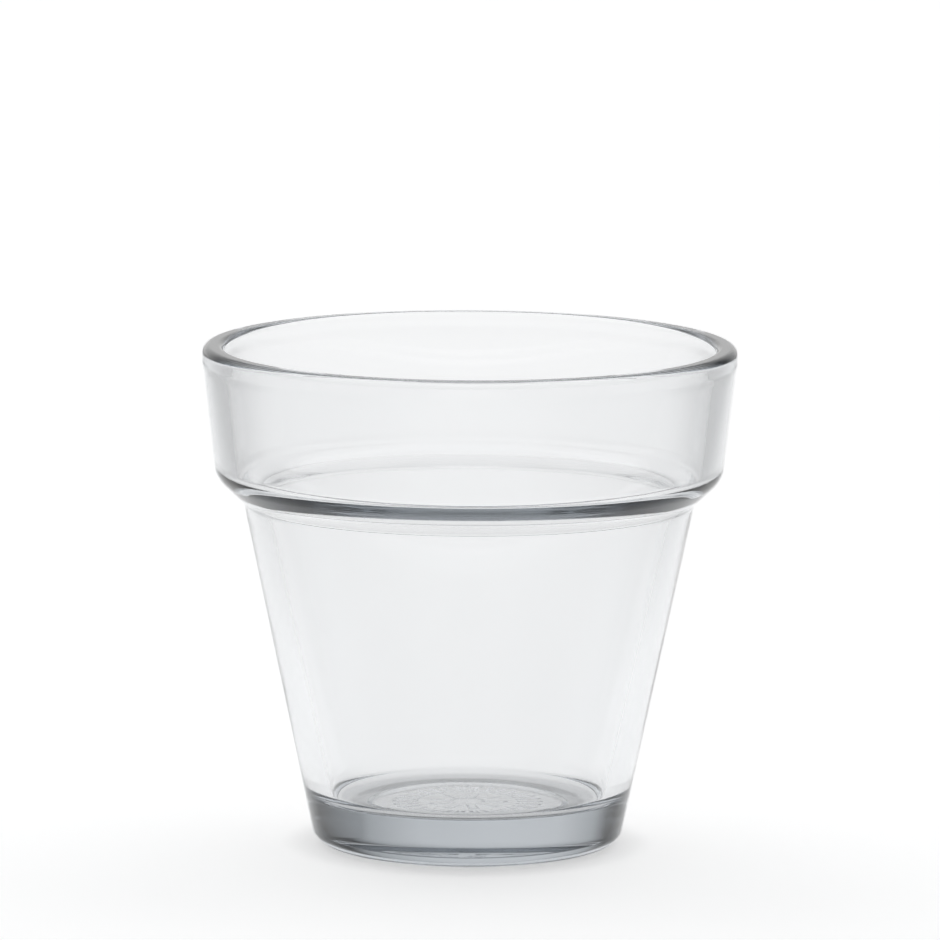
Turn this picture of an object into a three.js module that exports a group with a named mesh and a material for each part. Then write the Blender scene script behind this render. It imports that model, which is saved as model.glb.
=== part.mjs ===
// Clear verrine glass in flower-pot form, pressed in one piece; millimetres, +Z up, origin under the base
import * as THREE from "three";

// Heights, stacked from the table to the rim; the heel's corner, before rounding, is lifted off the table
const HEEL_LIFT = 0.45;
const BOWL_RISE = 55.5;
const SHOULDER_RISE = 4.2;
const COLLAR_HEIGHT = 18.3;
const RIM_BAND_HEIGHT = 2.75;
const RIM_STEP_HEIGHT = 1.2;

// Radii, stacked from the foot outwards; the foot radius is that of its corner before rounding
const FOOT_RADIUS = 24.7;
const BOWL_FLARE = 11.65;
const SHOULDER_WIDTH = 4.45;
const COLLAR_FLARE = 1.98;
const RIM_STEP = 0.22;

// Thickness of the glass, which thins from the foot up to the shoulder
const FOOT_WALL = 4.2;
const BOWL_WALL = 3.4;
const COLLAR_WALL = 3.5;
const FLOOR_HEIGHT = 8.2;

// Sloping ledge inside the shoulder: its foot above the bowl's outer top, and the rise from there to the collar
const LEDGE_LIFT = 3.75;
const LEDGE_RISE = 1.25;

// Shallow hollow under the base, inside the flat ring that the glass stands on
const RECESS_RADIUS = 16.3;
const RECESS_DEPTH = 1.0;
const RECESS_SLOPE_WIDTH = 0.8;
const BEARING_RING_WIDTH = 2.7;

// Rounding of the corners
const HEEL_ROUND = 4.4;
const SHOULDER_FOOT_ROUND = 2.0;
const SHOULDER_TOP_ROUND = 4.1;
const RIM_OUTER_ROUND = 2.1;
const RIM_INNER_ROUND = 1.2;
const LEDGE_TOP_ROUND = 2.0;
const LEDGE_FOOT_ROUND = 4.6;
const FLOOR_ROUND = 2.5;
const RECESS_ROUND = 0.4;

// Fineness of the faceted surface
const SEGMENTS = 64;
const ARC_STEP = THREE.MathUtils.degToRad(15);

// Finish of the glass
const GLASS_COLOUR = 0xe6eded;
const GLASS_ROUGHNESS = 0.04;
const GLASS_OPACITY = 0.3;

// Heights and radii worked out from the stacks above
const BOWL_HEIGHT = HEEL_LIFT + BOWL_RISE;
const SHOULDER_TOP = BOWL_HEIGHT + SHOULDER_RISE;
const COLLAR_TOP = SHOULDER_TOP + COLLAR_HEIGHT;
const HEIGHT = COLLAR_TOP + RIM_BAND_HEIGHT;
const LEDGE_FOOT = BOWL_HEIGHT + LEDGE_LIFT;
const LEDGE_TOP = LEDGE_FOOT + LEDGE_RISE;
const BOWL_RADIUS = FOOT_RADIUS + BOWL_FLARE;
const COLLAR_BASE_RADIUS = BOWL_RADIUS + SHOULDER_WIDTH;
const COLLAR_RADIUS = COLLAR_BASE_RADIUS + COLLAR_FLARE;
const RIM_RADIUS = COLLAR_RADIUS + RIM_STEP;
const BEARING_RADIUS = RECESS_RADIUS + BEARING_RING_WIDTH;

// A straight stretch of the wall, from its lower to its upper end
function stretch(lowerRadius, lowerHeight, upperRadius, upperHeight) {
  const lower = new THREE.Vector2(lowerRadius, lowerHeight);
  const upper = new THREE.Vector2(upperRadius, upperHeight);
  return { lower, upper };
}

// The inner face of a stretch, in from its outer face by the thickness of the glass at either end
function innerFace({ lower, upper }, lowerWall, upperWall) {
  const along = upper.clone().sub(lower).normalize();
  const inwards = new THREE.Vector2(-along.y, along.x);
  return {
    lower: lower.clone().addScaledVector(inwards, lowerWall),
    upper: upper.clone().addScaledVector(inwards, upperWall),
  };
}

// The radius at which a stretch, drawn on if need be, reaches a height
function radiusAt({ lower, upper }, height) {
  const share = (height - lower.y) / (upper.y - lower.y);
  return lower.x + share * (upper.x - lower.x);
}

// A corner of the outline, with the radius that rounds it
function corner(radius, height, round = 0) {
  return { at: new THREE.Vector2(radius, height), round };
}

// The length of a side that one corner's arc may take, shared with the arc at the side's far end
function roomAlong(side, here, farEnd) {
  return (side.length() * here.round) / (here.round + farEnd.round);
}

// The arc that rounds a corner between its neighbours
function cornerArc(before, here, after) {
  const back = before.at.clone().sub(here.at);
  const ahead = after.at.clone().sub(here.at);
  const room = Math.min(roomAlong(back, here, before), roomAlong(ahead, here, after));
  back.normalize();
  ahead.normalize();
  const halfAngle = Math.acos(back.dot(ahead)) / 2;
  const reach = Math.min(here.round / Math.tan(halfAngle), room);
  const radius = reach * Math.tan(halfAngle);
  const toCentre = back.clone().add(ahead).setLength(radius / Math.sin(halfAngle));
  const centre = here.at.clone().add(toCentre);
  const start = here.at.clone().addScaledVector(back, reach);
  const turn = Math.sign(ahead.cross(back)) * (Math.PI - 2 * halfAngle);
  const steps = Math.ceil(Math.abs(turn) / ARC_STEP);
  return Array.from({ length: steps + 1 }, (_, i) => start.clone().rotateAround(centre, (turn * i) / steps));
}

// Follows the corners and turns each rounded one into an arc
function roundedOutline(corners) {
  return corners.flatMap((here, i) => {
    if (here.round === 0) {
      return [here.at];
    }
    return cornerArc(corners[i - 1], here, corners[i + 1]);
  });
}

// Half section of the glass, from the middle of the underside round to the middle of the floor
function glassOutline() {
  const bowl = stretch(FOOT_RADIUS, HEEL_LIFT, BOWL_RADIUS, BOWL_HEIGHT);
  const collar = stretch(COLLAR_BASE_RADIUS, SHOULDER_TOP, COLLAR_RADIUS, COLLAR_TOP);
  const innerBowl = innerFace(bowl, FOOT_WALL, BOWL_WALL);
  const innerCollar = innerFace(collar, COLLAR_WALL, COLLAR_WALL);

  return roundedOutline([
    corner(0, RECESS_DEPTH),
    corner(RECESS_RADIUS - RECESS_SLOPE_WIDTH, RECESS_DEPTH, RECESS_ROUND),
    corner(RECESS_RADIUS, 0, RECESS_ROUND),
    corner(BEARING_RADIUS, 0),
    corner(FOOT_RADIUS, HEEL_LIFT, HEEL_ROUND),
    corner(BOWL_RADIUS, BOWL_HEIGHT, SHOULDER_FOOT_ROUND),
    corner(COLLAR_BASE_RADIUS, SHOULDER_TOP, SHOULDER_TOP_ROUND),
    corner(COLLAR_RADIUS, COLLAR_TOP - RIM_STEP_HEIGHT),
    corner(RIM_RADIUS, COLLAR_TOP),
    corner(RIM_RADIUS, HEIGHT, RIM_OUTER_ROUND),
    corner(radiusAt(innerCollar, HEIGHT), HEIGHT, RIM_INNER_ROUND),
    corner(radiusAt(innerCollar, LEDGE_TOP), LEDGE_TOP, LEDGE_TOP_ROUND),
    corner(radiusAt(innerBowl, LEDGE_FOOT), LEDGE_FOOT, LEDGE_FOOT_ROUND),
    corner(radiusAt(innerBowl, FLOOR_HEIGHT), FLOOR_HEIGHT, FLOOR_ROUND),
    corner(0, FLOOR_HEIGHT),
  ]);
}

// The whole glass: the half section turned round the upright axis
function glassBody() {
  const geometry = new THREE.LatheGeometry(glassOutline(), SEGMENTS);
  geometry.rotateX(Math.PI / 2);
  const material = new THREE.MeshStandardMaterial({
    color: GLASS_COLOUR,
    roughness: GLASS_ROUGHNESS,
    metalness: 0,
    transparent: true,
    opacity: GLASS_OPACITY,
  });
  const mesh = new THREE.Mesh(geometry, material);
  mesh.name = "glass_body";
  return mesh;
}

const verrine = new THREE.Group();
verrine.add(glassBody());

export default verrine;
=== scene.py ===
import math

import bpy
from mathutils import Matrix, Vector


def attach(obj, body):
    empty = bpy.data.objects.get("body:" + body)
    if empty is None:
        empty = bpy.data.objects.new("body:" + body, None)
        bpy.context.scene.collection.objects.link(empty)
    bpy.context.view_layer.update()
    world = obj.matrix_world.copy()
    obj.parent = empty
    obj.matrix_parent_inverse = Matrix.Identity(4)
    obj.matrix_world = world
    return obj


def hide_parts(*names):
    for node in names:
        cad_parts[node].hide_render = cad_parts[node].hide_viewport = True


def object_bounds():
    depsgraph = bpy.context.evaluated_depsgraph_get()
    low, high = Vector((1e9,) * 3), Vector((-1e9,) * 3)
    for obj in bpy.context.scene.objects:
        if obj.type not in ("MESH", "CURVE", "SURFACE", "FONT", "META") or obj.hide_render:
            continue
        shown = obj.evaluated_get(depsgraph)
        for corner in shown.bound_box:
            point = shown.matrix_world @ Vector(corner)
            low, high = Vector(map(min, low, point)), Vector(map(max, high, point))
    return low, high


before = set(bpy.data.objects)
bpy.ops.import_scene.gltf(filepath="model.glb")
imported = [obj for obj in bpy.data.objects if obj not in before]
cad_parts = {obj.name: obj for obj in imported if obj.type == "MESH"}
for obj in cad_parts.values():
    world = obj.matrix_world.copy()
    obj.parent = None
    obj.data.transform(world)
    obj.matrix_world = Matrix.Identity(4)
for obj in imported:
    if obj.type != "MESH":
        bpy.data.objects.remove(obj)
CAD_LOW, CAD_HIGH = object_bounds()

MM = 0.001

# Heights; the heel's corner, before rounding, is lifted off the table
HEIGHT = CAD_HIGH.z
HEEL_LIFT = 0.45 * MM
BOWL_HEIGHT = 55.95 * MM
SHOULDER_TOP = 60.15 * MM
COLLAR_TOP = 78.45 * MM
RIM_STEP_HEIGHT = 1.2 * MM
FLOOR_HEIGHT = 8.2 * MM
LEDGE_FOOT = 59.7 * MM
LEDGE_TOP = 60.95 * MM

# Radii of the outer face
RIM_RADIUS = CAD_HIGH.x
FOOT_RADIUS = 24.7 * MM
BOWL_RADIUS = 36.35 * MM
COLLAR_BASE_RADIUS = 40.8 * MM
COLLAR_RADIUS = 42.78 * MM

# Thickness of the glass, which thins from the foot up to the shoulder
FOOT_WALL = 4.2 * MM
BOWL_WALL = 3.4 * MM
COLLAR_WALL = 3.5 * MM

# Hollow under the base, and the flat ring round it that the glass stands on
RECESS_RADIUS = 16.3 * MM
RECESS_SLOPE_WIDTH = 0.8 * MM
RECESS_DEPTH = 1.0 * MM
BEARING_RADIUS = 19.0 * MM

# Rounding of the corners
HEEL_ROUND = 4.4 * MM
BEARING_ROUND = 8.0 * MM
SHOULDER_FOOT_ROUND = 2.0 * MM
SHOULDER_TOP_ROUND = 4.1 * MM
STEP_ROUND = 2.5 * MM
RIM_OUTER_ROUND = 2.1 * MM
RIM_INNER_ROUND = 1.2 * MM
LEDGE_TOP_ROUND = 2.0 * MM
LEDGE_FOOT_ROUND = 4.6 * MM
FLOOR_ROUND = 2.5 * MM
RECESS_ROUND = 0.4 * MM

# Raised ornament in the hollow: a ring of short bars round a ring of petals
RELIEF_HEIGHT = 0.2 * MM
RELIEF_EDGE = 0.35 * MM
RELIEF_STEP = 0.25 * MM
RELIEF_REACH = 13.0 * MM
RELIEF_TOLERANCE = 0.05 * MM
BAR_RING = 8.4 * MM, 11.8 * MM
BAR_COUNT = 30
BAR_WIDTH = 0.9 * MM
PETAL_RING = 2.6 * MM, 6.2 * MM
PETAL_COUNT = 9
PETAL_WIDTH = 1.3 * MM

# Fineness of the surface
SEGMENTS = 256
ARC_STEP = math.radians(3)
STRETCH_STEP = 2.0 * MM

# Glass: refraction, faint tint, and the long waves and uneven polish that pressing leaves in its faces
GLASS_INDEX = 1.52
CLEAR = (1, 1, 1, 1)
TINT = (0.825, 0.84, 0.855, 1)
TINT_DENSITY = 75.0
WAVE_SCALE = 45.0
WAVE_HEIGHT = 0.03 * MM
ROUGHNESS_SCALE = 120.0
ROUGHNESS_RANGE = 0.0, 0.015

# The photograph's camera, and the frame that it fills
FRAME_PIXELS = 940
FOCAL_PIXELS = 8175.0
SENSOR_WIDTH = 36.0
CAMERA_PLACE = Vector((0, -1.30075, 0.26089))
CAMERA_PITCH = math.radians(-8.744)
CAMERA_YAW = math.radians(-0.005)
CAMERA_ROLL = math.radians(0.321)

# The floor, and the hair of air between it and the glass
FLOOR_REACH = 6.0
FLOOR_GAP = 0.05 * MM
FLOOR_COLOUR = (0.9, 0.9, 0.9, 1)

# Painted light: a pool of light painted on the floor as its own glow, white in a band that widens to the
# back, pale beside; by half widths off its middle
LIGHT_POOL_HALF_WIDTH = 0.088
LIGHT_POOL_SPREAD = 0.06
LIGHT_POOL = (0, 0.64), (0.9, 0.64), (2.2, 0.26), (5, 0.22)
LIGHT_POOL_REACH = 0, 5

# Share of the painted light pool left in the foot's painted shadow, least under the ring it stands on, by
# metres from the axis
FOOT_SHADE = (0, 0.6), (0.0157, 0.6), (0.0163, 0.1), (0.0189, 0.1), (0.02, 0.6), (0.03, 1)
FOOT_SHADE_REACH = 0, 0.03

# A soft panel low behind the glass, in degrees; brightness by half widths or half heights off its middle
PANEL_TURN = -7.0
PANEL_HALF_WIDTH = 41.0
PANEL_HALF_HEIGHT = 40.0
PANEL = (0, 1), (0.45, 0.92), (0.85, 0.6), (1.15, 0.03), (5, 0.03)
PANEL_REACH = 0, 5

# Soft boxes high up on either side: turn and rise of their middles, and brightness by degrees off them
SOFT_BOXES = (-44, 50), (44, 52)
SOFT_BOX = (0, 1), (17, 1), (35, 0)
SOFT_BOX_REACH = 0, 35

# Light from the pale foot of the walls and from the ceiling, by rise in degrees
ROOM = (0, 0.5), (4, 0.45), (9, 0), (45, 0), (80, 0.6)
ROOM_REACH = 0, 90

# Powers of red, green and blue that turn a grey cooler as it gets darker, or leave it as it is
COOL = 1.07, 1.03, 1.0
NEUTRAL = 1.0, 1.0, 1.0

# How often light is followed round inside the thick glass
LIGHT_BOUNCES = 32


def corner(radius, height, rounding=0.0):
    """A corner of the half section, with the radius that rounds it."""
    return Vector((radius, height)), rounding


def inner_face(lower, upper, lower_wall, upper_wall):
    """The inner face of a straight stretch, in from its outer one by the wall's thickness at either end."""
    along = (upper - lower).normalized()
    inwards = Vector((-along.y, along.x))
    return lower + inwards * lower_wall, upper + inwards * upper_wall


def radius_at(stretch, height):
    """The radius at which a stretch, drawn on if need be, reaches a height."""
    lower, upper = stretch
    return lower.x + (height - lower.y) / (upper.y - lower.y) * (upper.x - lower.x)


def cross(a, b):
    """The turn from one flat vector to another, as an area."""
    return a.x * b.y - a.y * b.x


def room_along(side, rounding, far_rounding):
    """The length of a side that one corner's arc may take, shared with the arc at the side's far end."""
    return side.length * rounding / (rounding + far_rounding)


def corner_arc(before, here, after):
    """The points of the arc that rounds a corner between its neighbours."""
    at, rounding = here
    back = before[0] - at
    ahead = after[0] - at
    room = min(room_along(back, rounding, before[1]), room_along(ahead, rounding, after[1]))
    back.normalize()
    ahead.normalize()
    half_angle = math.acos(back.dot(ahead)) / 2
    reach = min(rounding / math.tan(half_angle), room)
    radius = reach * math.tan(half_angle)
    centre = at + (back + ahead).normalized() * (radius / math.sin(half_angle))
    spoke = at + back * reach - centre
    turn = math.copysign(math.pi - 2 * half_angle, cross(ahead, back))
    steps = math.ceil(abs(turn) / ARC_STEP)
    return [centre + Matrix.Rotation(turn * i / steps, 2) @ spoke for i in range(steps + 1)]


def is_ornate(place):
    """Whether a point of the outline lies on the roof of the hollow, where the ornament is."""
    return abs(place.y - RECESS_DEPTH) < RELIEF_TOLERANCE and place.x < RELIEF_REACH


def divided(points):
    """The points of an outline, with its long stretches divided; finely where the ornament is."""
    outline = [points[0]]
    for start, end in zip(points, points[1:]):
        step = RELIEF_STEP if is_ornate(start) else STRETCH_STEP
        count = max(1, round((end - start).length / step))
        outline += [start.lerp(end, i / count) for i in range(1, count + 1)]
    return outline


def rounded_outline(corners):
    """Follows the corners, turns each rounded one into an arc and divides the straight stretches."""
    points = []
    for i, here in enumerate(corners):
        points += corner_arc(corners[i - 1], here, corners[i + 1]) if here[1] else [here[0]]
    return divided(points)


def glass_outline():
    """Half section of the glass, from the middle of the underside round to the middle of the floor."""
    foot = Vector((FOOT_RADIUS, HEEL_LIFT))
    shoulder_foot = Vector((BOWL_RADIUS, BOWL_HEIGHT))
    shoulder_top = Vector((COLLAR_BASE_RADIUS, SHOULDER_TOP))
    collar_top = Vector((COLLAR_RADIUS, COLLAR_TOP))
    inner_bowl = inner_face(foot, shoulder_foot, FOOT_WALL, BOWL_WALL)
    inner_collar = inner_face(shoulder_top, collar_top, COLLAR_WALL, COLLAR_WALL)
    return rounded_outline([
        corner(0, RECESS_DEPTH),
        corner(RECESS_RADIUS - RECESS_SLOPE_WIDTH, RECESS_DEPTH, RECESS_ROUND),
        corner(RECESS_RADIUS, 0, RECESS_ROUND),
        corner(BEARING_RADIUS, 0, BEARING_ROUND),
        corner(*foot, HEEL_ROUND),
        corner(*shoulder_foot, SHOULDER_FOOT_ROUND),
        corner(*shoulder_top, SHOULDER_TOP_ROUND),
        corner(COLLAR_RADIUS, COLLAR_TOP - RIM_STEP_HEIGHT, STEP_ROUND),
        corner(RIM_RADIUS, COLLAR_TOP, STEP_ROUND),
        corner(RIM_RADIUS, HEIGHT, RIM_OUTER_ROUND),
        corner(radius_at(inner_collar, HEIGHT), HEIGHT, RIM_INNER_ROUND),
        corner(radius_at(inner_collar, LEDGE_TOP), LEDGE_TOP, LEDGE_TOP_ROUND),
        corner(radius_at(inner_bowl, LEDGE_FOOT), LEDGE_FOOT, LEDGE_FOOT_ROUND),
        corner(radius_at(inner_bowl, FLOOR_HEIGHT), FLOOR_HEIGHT, FLOOR_ROUND),
        corner(0, FLOOR_HEIGHT),
    ])


def soft_step(depth):
    """Rises from 0 to 1 over the ornament's soft edge."""
    share = min(max(depth / RELIEF_EDGE + 0.5, 0), 1)
    return share * share * (3 - 2 * share)


def ornament_bar(radius, angle, ring, count, width):
    """How far a place is on one of the bars, spread evenly round a ring, that point at its middle."""
    pitch = 2 * math.pi / count
    aside = radius * math.sin((angle + pitch / 2) % pitch - pitch / 2)
    along = min(radius - ring[0], ring[1] - radius)
    return soft_step(min(along, width / 2 - abs(aside)))


def relief(radius, angle):
    """Height of the ornament under the base."""
    bar = ornament_bar(radius, angle, BAR_RING, BAR_COUNT, BAR_WIDTH)
    petal = ornament_bar(radius, angle, PETAL_RING, PETAL_COUNT, PETAL_WIDTH)
    return RELIEF_HEIGHT * max(bar, petal)


def turned_point(place, angle):
    """A point of the outline, turned round the upright axis; the ornament stands out of the hollow."""
    height = place.y - relief(place.x, angle) if is_ornate(place) else place.y
    return place.x * math.cos(angle), place.x * math.sin(angle), height


def turned_mesh(name, outline):
    """A closed mesh: the outline turned round the upright axis, with its two ends on that axis."""
    rings = outline[1:-1]
    angles = [2 * math.pi * i / SEGMENTS for i in range(SEGMENTS)]
    points = [turned_point(place, angle) for place in rings for angle in angles]
    first_pole = len(points)
    points += [(0, 0, outline[0].y), (0, 0, outline[-1].y)]
    faces = []
    last_ring = (len(rings) - 1) * SEGMENTS
    for i in range(SEGMENTS):
        j = (i + 1) % SEGMENTS
        faces.append((first_pole, j, i))
        for start in range(0, last_ring, SEGMENTS):
            faces.append((start + i, start + j, start + SEGMENTS + j, start + SEGMENTS + i))
        faces.append((first_pole + 1, last_ring + i, last_ring + j))
    mesh = bpy.data.meshes.new(name)
    mesh.from_pydata(points, [], faces)
    mesh.shade_smooth()
    return mesh


def feed(tree, source, socket):
    """Gives a socket a number, or the output of another node."""
    if isinstance(source, bpy.types.NodeSocket):
        tree.links.new(source, socket)
    else:
        socket.default_value = source


def calculate(tree, operation, *sources):
    """The output of a math node."""
    node = tree.nodes.new("ShaderNodeMath")
    node.operation = operation
    for source, socket in zip(sources, node.inputs):
        feed(tree, source, socket)
    return node.outputs["Value"]


def blend_colours(tree, blend, first, second):
    """The output of a node that blends two colours in full."""
    node = tree.nodes.new("ShaderNodeMix")
    node.data_type = "RGBA"
    node.blend_type = blend
    node.inputs["Factor"].default_value = 1
    for source, socket in ((first, "A_Color"), (second, "B_Color")):
        feed(tree, source, next(plug for plug in node.inputs if plug.identifier == socket))
    return next(plug for plug in node.outputs if plug.identifier == "Result_Color")


def noise(tree, scale):
    """The output of a soft noise, fixed to the glass."""
    node = tree.nodes.new("ShaderNodeTexNoise")
    node.inputs["Scale"].default_value = scale
    feed(tree, tree.nodes.new("ShaderNodeTexCoord").outputs["Object"], node.inputs["Vector"])
    return node.outputs["Fac"]


def glass_material():
    """Clear glass: faintly tinted, with the slight waves of pressing and a barely uneven polish."""
    material = bpy.data.materials.new("clear_glass")
    material.use_nodes = True
    tree = material.node_tree
    shader = tree.nodes["Principled BSDF"]
    shader.inputs["Base Color"].default_value = CLEAR
    shader.inputs["IOR"].default_value = GLASS_INDEX
    shader.inputs["Transmission Weight"].default_value = 1
    polish = tree.nodes.new("ShaderNodeMapRange")
    feed(tree, noise(tree, ROUGHNESS_SCALE), polish.inputs["Value"])
    polish.inputs["To Min"].default_value = ROUGHNESS_RANGE[0]
    polish.inputs["To Max"].default_value = ROUGHNESS_RANGE[1]
    feed(tree, polish.outputs["Result"], shader.inputs["Roughness"])
    waves = tree.nodes.new("ShaderNodeBump")
    waves.inputs["Distance"].default_value = WAVE_HEIGHT
    feed(tree, noise(tree, WAVE_SCALE), waves.inputs["Height"])
    feed(tree, waves.outputs["Normal"], shader.inputs["Normal"])
    tint = tree.nodes.new("ShaderNodeVolumeAbsorption")
    tint.inputs["Color"].default_value = TINT
    tint.inputs["Density"].default_value = TINT_DENSITY
    feed(tree, tint.outputs["Volume"], tree.nodes["Material Output"].inputs["Volume"])
    return material


def add_object(name, data):
    """A new object in the scene."""
    made = bpy.data.objects.new(name, data)
    bpy.context.scene.collection.objects.link(made)
    return made


def add_glass():
    """The whole glass, in place of its faceted solid."""
    glass = add_object("glass", turned_mesh("glass", glass_outline()))
    glass.data.materials.append(glass_material())
    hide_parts("glass_body")
    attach(glass, "root")


def add_camera():
    """The camera at the photograph's angle."""
    data = bpy.data.cameras.new("camera")
    data.sensor_width = SENSOR_WIDTH
    data.lens = FOCAL_PIXELS / FRAME_PIXELS * SENSOR_WIDTH
    camera = add_object("camera", data)
    upright = Matrix.Rotation(math.pi / 2 + CAMERA_PITCH, 4, "X")
    turned = Matrix.Rotation(CAMERA_YAW, 4, "Z") @ upright @ Matrix.Rotation(CAMERA_ROLL, 4, "Z")
    camera.matrix_world = Matrix.Translation(CAMERA_PLACE) @ turned
    bpy.context.scene.camera = camera


def ramp(tree, value, stops, ends, cooling):
    """The output of a colour ramp over stops of a value and the brightness there."""
    node = tree.nodes.new("ShaderNodeValToRGB")
    elements = node.color_ramp.elements
    while len(elements) < len(stops):
        elements.new(1)
    first, last = ends
    for element, (place, level) in zip(elements, stops):
        element.position = (place - first) / (last - first)
        element.color = (*(level ** power for power in cooling), 1)
    share = tree.nodes.new("ShaderNodeMapRange")
    feed(tree, value, share.inputs["Value"])
    share.inputs["From Min"].default_value = first
    share.inputs["From Max"].default_value = last
    feed(tree, share.outputs["Result"], node.inputs["Fac"])
    return node.outputs["Color"]


def in_degrees(tree, angle):
    """An angle node's output, in degrees."""
    return calculate(tree, "DEGREES", angle)


def off_middle(tree, first, second):
    """The length of two values that lie square to each other."""
    squares = (calculate(tree, "MULTIPLY", value, value) for value in (first, second))
    return calculate(tree, "SQRT", calculate(tree, "ADD", *squares))


def split_vector(tree, vector):
    """The three parts of a vector."""
    node = tree.nodes.new("ShaderNodeSeparateXYZ")
    feed(tree, vector, node.inputs["Vector"])
    return node.outputs


def add_floor():
    """A plain pale floor, matt, whose emission is a painted pool of light, white around and behind the
    glass, with a painted shadow under the foot.
    """
    mesh = bpy.data.meshes.new("floor")
    edge = FLOOR_REACH
    down = -FLOOR_GAP
    corners = [(-edge, -edge, down), (edge, -edge, down), (edge, edge, down), (-edge, edge, down)]
    mesh.from_pydata(corners, [], [(0, 1, 2, 3)])
    material = bpy.data.materials.new("floor")
    material.use_nodes = True
    tree = material.node_tree
    shader = tree.nodes["Principled BSDF"]
    shader.inputs["Base Color"].default_value = FLOOR_COLOUR
    shader.inputs["Roughness"].default_value = 1
    shader.inputs["Specular IOR Level"].default_value = 0
    parts = split_vector(tree, tree.nodes.new("ShaderNodeTexCoord").outputs["Object"])
    behind = calculate(tree, "MAXIMUM", parts["Y"], 0.0)
    half_width = calculate(tree, "MULTIPLY_ADD", behind, LIGHT_POOL_SPREAD, LIGHT_POOL_HALF_WIDTH)
    beside = calculate(tree, "DIVIDE", calculate(tree, "ABSOLUTE", parts["X"]), half_width)
    # Painted light and shade: a pool of light that widens behind the glass, times the foot's shadow, both
    # painted into the floor's emission
    light_pool = ramp(tree, beside, LIGHT_POOL, LIGHT_POOL_REACH, NEUTRAL)
    distance = off_middle(tree, parts["X"], parts["Y"])
    shade = ramp(tree, distance, FOOT_SHADE, FOOT_SHADE_REACH, NEUTRAL)
    feed(tree, blend_colours(tree, "MULTIPLY", light_pool, shade), shader.inputs["Emission Color"])
    shader.inputs["Emission Strength"].default_value = 1
    mesh.materials.append(material)
    add_object("floor", mesh)


def soft_box(tree, direction, turn, rise):
    """The light of a round soft box, by the angle off its middle."""
    upwards = Matrix.Rotation(math.radians(rise), 3, "X")
    sideways = Matrix.Rotation(-math.radians(turn), 3, "Z")
    node = tree.nodes.new("ShaderNodeVectorMath")
    node.operation = "DOT_PRODUCT"
    feed(tree, direction, node.inputs[0])
    feed(tree, sideways @ upwards @ Vector((0, 1, 0)), node.inputs[1])
    off = in_degrees(tree, calculate(tree, "ARCCOSINE", node.outputs["Value"]))
    return ramp(tree, off, SOFT_BOX, SOFT_BOX_REACH, COOL)


def add_world():
    """Soft studio light: a low panel behind the glass, two soft boxes above it and a dim room around."""
    world = bpy.data.worlds.new("studio")
    world.use_nodes = True
    tree = world.node_tree
    direction = tree.nodes.new("ShaderNodeTexCoord").outputs["Generated"]
    parts = split_vector(tree, direction)
    turn = in_degrees(tree, calculate(tree, "ARCTAN2", parts["X"], parts["Y"]))
    rise = in_degrees(tree, calculate(tree, "ARCSINE", parts["Z"]))
    beside = calculate(tree, "DIVIDE", calculate(tree, "SUBTRACT", turn, PANEL_TURN), PANEL_HALF_WIDTH)
    above = calculate(tree, "DIVIDE", rise, PANEL_HALF_HEIGHT)
    light = ramp(tree, off_middle(tree, beside, above), PANEL, PANEL_REACH, COOL)
    others = [soft_box(tree, direction, *place) for place in SOFT_BOXES]
    others.append(ramp(tree, rise, ROOM, ROOM_REACH, COOL))
    for other in others:
        light = blend_colours(tree, "LIGHTEN", light, other)
    feed(tree, light, tree.nodes["Background"].inputs["Color"])
    bpy.context.scene.world = world


add_camera()
add_glass()
add_floor()
add_world()
scene = bpy.context.scene
scene.view_settings.view_transform = "Standard"
scene.cycles.max_bounces = LIGHT_BOUNCES
scene.cycles.glossy_bounces = LIGHT_BOUNCES
scene.cycles.transmission_bounces = LIGHT_BOUNCES
